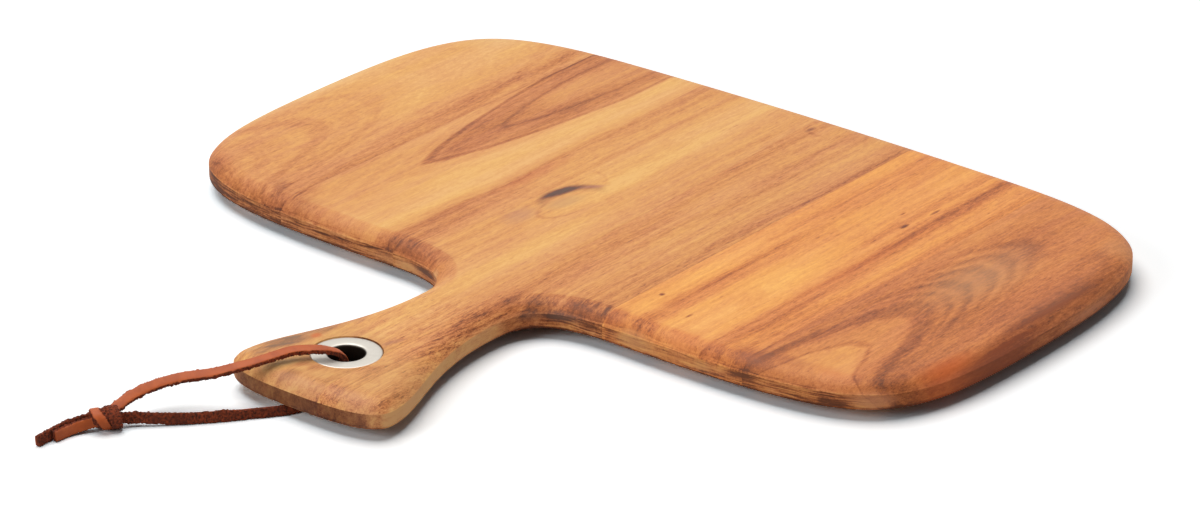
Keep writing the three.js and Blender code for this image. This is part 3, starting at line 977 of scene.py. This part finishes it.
patterns = {  # how fine across, along and up, then detail and roughness
    "wander": (0.016, 0.009, 0.016, 2, 0.5), "shiver": (0.22, 0.028, 0.22, 3, 0.5),
    "streaks": (0.34, 0.010, 0.34, 4, 0.6), "cloud": (0.05, 0.022, 0.05, 3, 0.55),
    "fibres": (1.9, 0.10, 1.9, 3, 0.6), "dashes": (0.9, 0.16, 0.9, 3, 0.6),
    "mottle": (0.8, 0.36, 0.8, 4, 0.7), "flecks": (1.7, 0.16, 1.7, 2, 0.5), "grit": (2.6, 0.7, 2.6, 2, 0.6),
    "hue": (0.12, 0.014, 0.12, 3, 0.55),
    "uneven": (0.07, 0.07, 0.07, 3, 0.6), "sway": (0.03, 0.03, 0.2, 2, 0.5),
    "layers": (0.07, 0.07, 1.2, 4, 0.65), "cracks": (0.04, 0.04, 1.6, 3, 0.6),
    "speckles": (1.8, 1.2, 1.8, 2, 0.7), "patches": (0.22, 0.10, 0.22, 4, 0.65), "strokes": (0.35, 0.35, 0.14, 4, 0.7),
}
grain = {
    "bend": (7.0, 2.2), "ringBend": (3.0, 1.6), "spotBend": (5.0, 2.4), "spotLift": 2.6,  # mm of wander and of shiver
    "lines": 0.20, "streaks": 0.48, "fibres": 0.34, "dashes": 0.36, "grit": 0.26, "cloud": 0.26,
    "offsetStep": 40, "lineSpacing": 0.4, "lineNoise": (4, 0.65), "poresFrom": (0.62, 0.74), "pores": -0.15,
    "hueFrom": (0.36, 0.64), "golden": (1.0, 0.995, 0.90), "rosy": (0.985, 0.955, 0.99),
    "fibreHeight": 0.5, "bump": 0.22, "bumpReach": 0.00015, "roughness": (0.3, 0.7, 0.46, 0.60),
    "shader": {"Specular IOR Level": 0.28, "Sheen Weight": 0.03, "Sheen Roughness": 0.4},
}
endGrainAndEdgeShading = {  # where the long fibres are cut; also painted shade on the near-facing bevels and the low edge, and a painted highlight where bevel and rim meet
    "bevel": (0.05, 0.75), "face": (0.82, 0.97), "low": (0.66, 0.9), "start": (0.0, 0.03), "uneven": 0.16,
    "calm": 0.7, "level": 0.36, "pull": 0.75, "shoulderShade": 0.25, "bevelShade": 0.20, "strokes": 0.5,
    "sway": 4.0, "layers": 2.3, "cracksFrom": (0.56, 0.66), "cracks": -0.18,
    "edgeHighlight": 0.16, "edgeHighlightWidth": (0.1, 0.45), "edgeHighlightBreaks": (0.35, 0.6),
    "underTop": (6.6, 5.2), "underFoot": (3.2, 4.2), "lowEdgeShade": -0.34,
    # a duller pale colour, for the cut faces and, as painted light, the handle's right side
    "paleDull": (212, 150, 108), "paleDullMix": 0.05,
}
handle = {
    "body": (-78, -62), "beside": (0.02, 0.3), "besideShare": 0.5, "shoulder": -0.6,
    "grain": 0.8, "tilt": (0.98, 0.85), "speckle": 0.5, "mottleFrom": (-112, -132), "mottle": 1.0,
    # the handle's right side: paler as painted light, mixed towards a duller pale tone
    "sideFacing": (0.7, 0.95), "side": 0.56, "sideLightPale": 0.35,
    "face": (0.32, 0.25, 0.23), "faceLeft": (-36, 6, 0.62, 1.0), "faceRight": (8, 30, 1.0, 0.72),
    "faceStrokes": (0.35, 0.65, 1.12, 0.84),
}
halfSpot = {"part": (-0.2, 0.4), "side": (-0.25, 0.2)}  # where one half of a spot fades


def fillRamp(ramp, stops):  # place and colour of each stop
    elements = ramp.color_ramp.elements
    while len(elements) < len(stops):
        elements.new(0.5)
    for element, (at, shade) in zip(elements, stops):
        element.position = at
        element.color = shade
    return ramp.outputs[0]


def toneRamp(value, stops):
    low, high = min(stops), max(stops)
    ramp = put("ShaderNodeValToRGB", {0: spread(value, low, high, soft=False)})
    ramp.color_ramp.interpolation = "EASE"
    raised = {at: tone * 0.5 + 0.5 for at, tone in stops.items()}  # the ramp holds no negative numbers
    shades = [((at - low) / (high - low), (level, level, level, 1)) for at, level in raised.items()]
    return times(fillRamp(ramp, shades), 2.0, -1.0)


def woodColour(tone):
    ramp = put("ShaderNodeValToRGB", {0: tone})
    return fillRamp(ramp, [(at, colour(*shade)) for at, shade in woodTones.items()])


def woodPattern(name, x, y, z):
    fineX, fineY, fineZ, detail, rough = patterns[name]
    at = put("ShaderNodeCombineXYZ", {0: times(x, fineX), 1: times(y, fineY), 2: times(z, fineZ)})
    return noise(at.outputs[0], detail, rough)


def archTone(arch, x, y, z, ripple):  # growth rings round a tilted pith
    bend = times(minus(y, arch["tip"]), arch["lean"])
    across = calc("ABSOLUTE", minus(minus(x, arch["pith"]), bend))
    depth = times(y, arch["slope"], arch["radius"] - arch["slope"] * arch["tip"] - board["top"])
    depth = calc("MAXIMUM", plus(depth, z), 0.0)
    power = arch["power"]  # 2 is round, less is pointed
    ring = plus(calc("POWER", across, power), calc("POWER", depth, power))
    ring = plus(calc("POWER", ring, 1 / power), ripple)
    lines = noise(times(ring, arch["spacing"]), *grain["lineNoise"], "1D")
    tone = vary(toneRamp(ring, arch["rings"]), lines, arch["lines"] * 2)
    if "reach" in arch:  # full near the pith, gone further out
        tone = times(tone, spread(across, *arch["reach"], 1.0, 0.0))
    return tone


def ellipse(patch, x, y, z, shift=(0, 0)):  # 0 in the middle of a spot, 1 at its edge
    along = minus(y, patch["at"][1] + shift[1])
    across = minus(x, patch["at"][0] + shift[0])
    across = minus(across, times(along, patch["lean"]))
    u = calc("DIVIDE", across, patch["size"][0])
    v = calc("DIVIDE", along, patch["size"][1])
    far = plus(times(u, u), times(v, v))
    if patch["level"]:
        middle, reach = patch["level"]
        w = calc("DIVIDE", minus(z, middle), reach)
        far = times(w, w, far)
    return calc("SQRT", far), u, v


def spotMask(patch, x, y, z):
    far, u, v = ellipse(patch, x, y, z)
    soft = patch["soft"]
    if patch["line"]:
        mask = spread(calc("ABSOLUTE", minus(far, 1.0)), 0.0, patch["line"], 1.0, 0.0)
    else:
        mask = spread(far, 1 - soft, 1.0, 1.0, 0.0)
    if patch["hollow"]:
        inner = ellipse(patch, x, y, z, patch["hollow"])[0]
        mask = times(mask, spread(inner, 1 - soft, 1 + soft))
    if patch["part"]:  # only the far or the near half
        mask = times(mask, spread(times(v, patch["part"]), *halfSpot["part"]))
    if patch["side"]:
        mask = times(mask, spread(times(u, patch["side"]), *halfSpot["side"]))
    return mask


def woodMaterial(name, plan):
    material = newMaterial(name)
    where = put("ShaderNodeTexCoord").outputs
    x, y, z = [times(a, 1 / mm) for a in put("ShaderNodeSeparateXYZ", {0: where["Object"]}).outputs]
    facing = put("ShaderNodeSeparateXYZ", {0: where["Normal"]}).outputs
    seed = plus(z, plan["offset"] * grain["offsetStep"])
    # slow wander and small shivers of the fibres
    wander, shiver = [minus(woodPattern(n, x, y, seed), 0.5) for n in ("wander", "shiver")]
    reach = lambda amounts: plus(times(wander, amounts[0]), times(shiver, amounts[1]))
    bent = plus(x, reach(grain["bend"]))
    fibre = {n: woodPattern(n, bent, y, seed) for n in (
        "streaks", "cloud", "fibres", "dashes", "mottle", "flecks", "grit", "patches", "hue")}
    far, near = toneRamp(bent, plan["far"]), toneRamp(bent, plan["near"])
    tone = plus(near, times(spread(y, *plan["turn"]), minus(far, near)))
    ripple = reach(grain["ringBend"])
    for arch in plan["arches"]:
        tone = plus(tone, archTone(arch, x, y, z, ripple))
    # cut ends: the long fibres give way to layers that follow the edge; bevels that face the near side get painted
    # shade, and the handle's right bevel is darkened with them
    onBody = spread(y, *handle["body"])
    onHandle = minus(1.0, onBody)
    towards = times(facing[1], -1.0)
    bevel = times(spread(towards, *endGrainAndEdgeShading["bevel"], soft=False), onBody)
    uneven = minus(woodPattern("uneven", x, y, seed), 0.5)
    shoulder = spread(times(uneven, endGrainAndEdgeShading["uneven"], towards), 0.0, plan["edge"])
    shoulder = times(shoulder, spread(towards, *endGrainAndEdgeShading["start"]))
    shoulder = times(shoulder, times(onHandle, handle["shoulder"], 1.0))
    beside = times(spread(facing[0], *handle["beside"]), onHandle)
    shoulder = calc("MAXIMUM", shoulder, times(beside, handle["besideShare"]))
    face = spread(calc("ABSOLUTE", facing[1]), *endGrainAndEdgeShading["face"])
    tone = times(minus(endGrainAndEdgeShading["level"], tone), times(face, endGrainAndEdgeShading["pull"]), tone)
    # streaks, cloudy figure, fibres and pores
    lines = noise(plus(times(bent, grain["lineSpacing"]), plan["offset"]), *grain["lineNoise"], "1D")
    pores = spread(fibre["flecks"], *grain["poresFrom"])
    fine = vary(0.0, lines, grain["lines"] * plan["lines"])
    fine = vary(fine, fibre["streaks"], grain["streaks"] * plan["lines"])
    for layer in ("fibres", "dashes", "grit"):
        fine = vary(fine, fibre[layer], grain[layer])
    fine = times(pores, grain["pores"], fine)
    calm = times(face, -endGrainAndEdgeShading["calm"], 1.0)
    calm = times(shoulder, endGrainAndEdgeShading["strokes"], calm)
    calm = times(onHandle, handle["grain"], calm)
    tone = times(fine, times(calm, plan["grain"]), tone)
    tone = vary(tone, fibre["cloud"], grain["cloud"])
    tone = vary(tone, fibre["mottle"], plan["mottle"])
    # knots, stains and patches
    spotX = plus(x, times(shiver, grain["spotBend"][1]))
    spotY = plus(y, times(wander, grain["spotBend"][0]))
    spotZ = vary(z, fibre["dashes"], grain["spotLift"])
    stained = []
    for patch in plan["spots"]:
        mask = spotMask(patch, spotX, spotY, spotZ)
        tone = times(mask, patch["delta"], tone)
        stained += [(stains[stain], times(mask, amount)) for stain, amount in patch["stain"]]
    # layers of the cut ends, painted shade on the low edge, and a painted highlight where bevel and rim meet
    rise = times(woodPattern("sway", x, y, seed), endGrainAndEdgeShading["sway"], z)
    layered = vary(plan["rim"], woodPattern("layers", x, y, rise), endGrainAndEdgeShading["layers"])
    cracks = spread(woodPattern("cracks", x, y, rise), *endGrainAndEdgeShading["cracksFrom"])
    layered = times(cracks, endGrainAndEdgeShading["cracks"], layered)
    # painted shade: bevels that face the near side are darker
    fade = times(shoulder, -endGrainAndEdgeShading["shoulderShade"], 1.0)
    fade = times(bevel, -endGrainAndEdgeShading["bevelShade"], fade)
    tone = times(tone, calc("MAXIMUM", fade, face))
    tone = times(layered, times(spread(towards, *endGrainAndEdgeShading["low"]), onBody), tone)
    # painted shade on the low edge, just above the foot
    under = times(spread(z, *endGrainAndEdgeShading["underTop"]), spread(z, *endGrainAndEdgeShading["underFoot"]))
    tone = times(under, endGrainAndEdgeShading["lowEdgeShade"], tone)
    # painted highlight: a pale line where bevel and rim meet
    meet = spread(calc("ABSOLUTE", minus(z, board["rim"][1])), *endGrainAndEdgeShading["edgeHighlightWidth"], 1.0, 0.0)
    meet = times(times(meet, bevel), spread(fibre["mottle"], *endGrainAndEdgeShading["edgeHighlightBreaks"]))
    tone = times(meet, endGrainAndEdgeShading["edgeHighlight"], tone)
    # the handle: speckled where it tilts, mottled round the grommet, paler on its right side as painted light
    tilted = times(spread(facing[2], *handle["tilt"]), onHandle)
    speckled = times(tilted, handle["speckle"])
    tone = vary(tone, woodPattern("speckles", x, y, seed), speckled)
    mottled = times(spread(y, *handle["mottleFrom"]), handle["mottle"])
    tone = vary(tone, fibre["patches"], mottled)
    side = times(spread(facing[0], *handle["sideFacing"]), onHandle)
    tone = times(side, handle["side"], tone)
    # colour
    shade = tint(1.0, woodColour(tone), (*plan["tint"], 1), "MULTIPLY")
    warmth = tint(spread(fibre["hue"], *grain["hueFrom"]), (*grain["golden"], 1), (*grain["rosy"], 1))
    shade = tint(1.0, shade, warmth, "MULTIPLY")
    for stain, amount in stained:
        shade = tint(amount, shade, colour(*stain))
    # a duller, paler colour on the cut faces, and on the handle's right side as painted light
    paleDullMix = times(side, handle["sideLightPale"], times(face, endGrainAndEdgeShading["paleDullMix"]))
    shade = tint(paleDullMix, shade, colour(*endGrainAndEdgeShading["paleDull"]))
    # the handle's end face darker: end grain, with painted shade, less so at its right corner
    handleEndGrainAndShade = times(face, onHandle)
    strokes = woodPattern("strokes", x, y, z)
    for value, stretch in ((x, "faceLeft"), (x, "faceRight"), (strokes, "faceStrokes")):
        handleEndGrainAndShade = times(handleEndGrainAndShade, spread(value, *handle[stretch]))
    shade = tint(handleEndGrainAndShade, shade, (*handle["face"], 1), "MULTIPLY")
    height = minus(times(fibre["fibres"], grain["fibreHeight"]), pores)
    finishSurface(grain, shade, spread(fibre["fibres"], *grain["roughness"], soft=False), height)
    return material


def seamPlane(index):  # a point on a glue line and the direction across it
    farX, nearX, reach = seams["far"][index], seams["near"][index], seams["reach"]
    along = Vector((farX - nearX, 2 * reach, 0)).normalized()
    return Vector((farX, reach, 0)), Vector((along.y, -along.x, 0))


def cutStave(blank, index):
    pick(blank)
    bpy.ops.object.duplicate()
    stave = bpy.context.object
    stave.name = f"stave{index + 1}"
    for seam, side in ((index - 1, 1), (index, -1)):
        if not 0 <= seam < len(seams["far"]):
            continue
        at, across = seamPlane(seam)
        at = (at + across * side * seams["gap"] / 2) * mm
        editAll()
        bpy.ops.mesh.bisect(plane_co=at, plane_no=across, use_fill=True, clear_inner=side > 0, clear_outer=side < 0)
        objectMode()
    if index in grommet["staves"]:
        boreGrommetSeat(stave)
        splitFlats(stave)
    smoothShade(stave, board["smooth"])
    wood = woodMaterial(f"oiledWood{index + 1}", stavePlan[index])
    dress(stave, wood, "board", f"stave_{index + 1}")
    return stave


blank = boardBlank()
joinFoot(blank, footBlank())
staves = [cutStave(blank, i) for i in range(len(stavePlan))]
bpy.data.objects.remove(blank, do_unlink=True)
print("staves cut:", [len(s.data.polygons) for s in staves])


# steel eyelet and the washer under it

def spun(name, profile):
    x, y = grommet["centre"]
    points = [((x + r) * mm, y * mm, z * mm) for r, z in profile]
    edges = [(i, (i + 1) % len(points)) for i in range(len(points))]
    obj = meshObject(name, points, edges, [])
    pick(obj)
    editAll()
    bpy.ops.mesh.spin(steps=grommet["steps"], angle=2 * math.pi, center=(x * mm, y * mm, 0), axis=(0, 0, 1))
    bpy.ops.mesh.select_all(action="SELECT")
    bpy.ops.mesh.remove_doubles(threshold=grommet["joinGap"] * mm)
    bpy.ops.mesh.normals_make_consistent(inside=False)
    objectMode()
    smoothShade(obj, grommet["smooth"])
    return obj


steelLook = {
    "turning": 2600.0, "turningNoise": (3, 0.6), "cloud": 260.0, "cloudNoise": (3, 0.5),
    # inside: dark brown, painted as shade in the eyelet's bore
    "pale": (201, 195, 185), "dull": (184, 178, 168), "inside": (40, 31, 24), "boreShadeFrom": (0.1, 0.75),
    "shader": {"Metallic": 0.85}, "turningRoughness": (0.3, 0.7, 0.0, 0.10), "cloudRoughness": (0.3, 0.7, 0.36, 0.44),
    "bump": 0.12, "bumpReach": 0.00003,
}


def steelMaterial():
    look = steelLook
    material = newMaterial("satinSteel")
    where = put("ShaderNodeTexCoord").outputs["Object"]
    x, y = grommet["centre"]
    middle = put("ShaderNodeMapping", {"Vector": where, "Location": (-x * mm, -y * mm, 0)}).outputs[0]
    axes = put("ShaderNodeSeparateXYZ", {0: middle}).outputs
    away = calc("SQRT", plus(times(axes[0], axes[0]), times(axes[1], axes[1])))
    turning = noise(times(away, look["turning"]), *look["turningNoise"], "1D")
    cloud = noise(scaled(where, look["cloud"]), *look["cloudNoise"])
    shade = tint(cloud, colour(*look["pale"]), colour(*look["dull"]))
    # painted shade: dark brown inside the eyelet's bore
    inner, outer = [(grommet["hole"] + gap) * mm for gap in look["boreShadeFrom"]]
    shade = tint(spread(away, inner, outer, 1.0, 0.0), shade, colour(*look["inside"]))
    rough = plus(spread(turning, *look["turningRoughness"], soft=False),
                 spread(cloud, *look["cloudRoughness"], soft=False))
    finishSurface(look, shade, rough, turning)
    return material


steel = steelMaterial()
for name, profile, node in (("grommetEyelet", grommet["ringProfile"], "grommet_eyelet"),
                            ("grommetWasher", grommet["washerProfile"], "grommet_washer")):
    dress(spun(name, profile), steel, "board", node)
print("grommet set")

# the fills light the board and the lace only, so the floor keeps a clean shadow
lit = bpy.data.collections.new("filled")
for obj in scene.objects:
    if obj.type == "MESH" and obj.name != "studioFloor":
        lit.objects.link(obj)
for name in ("fill", "rim"):
    lamps[name].light_linking.receiver_collection = lit
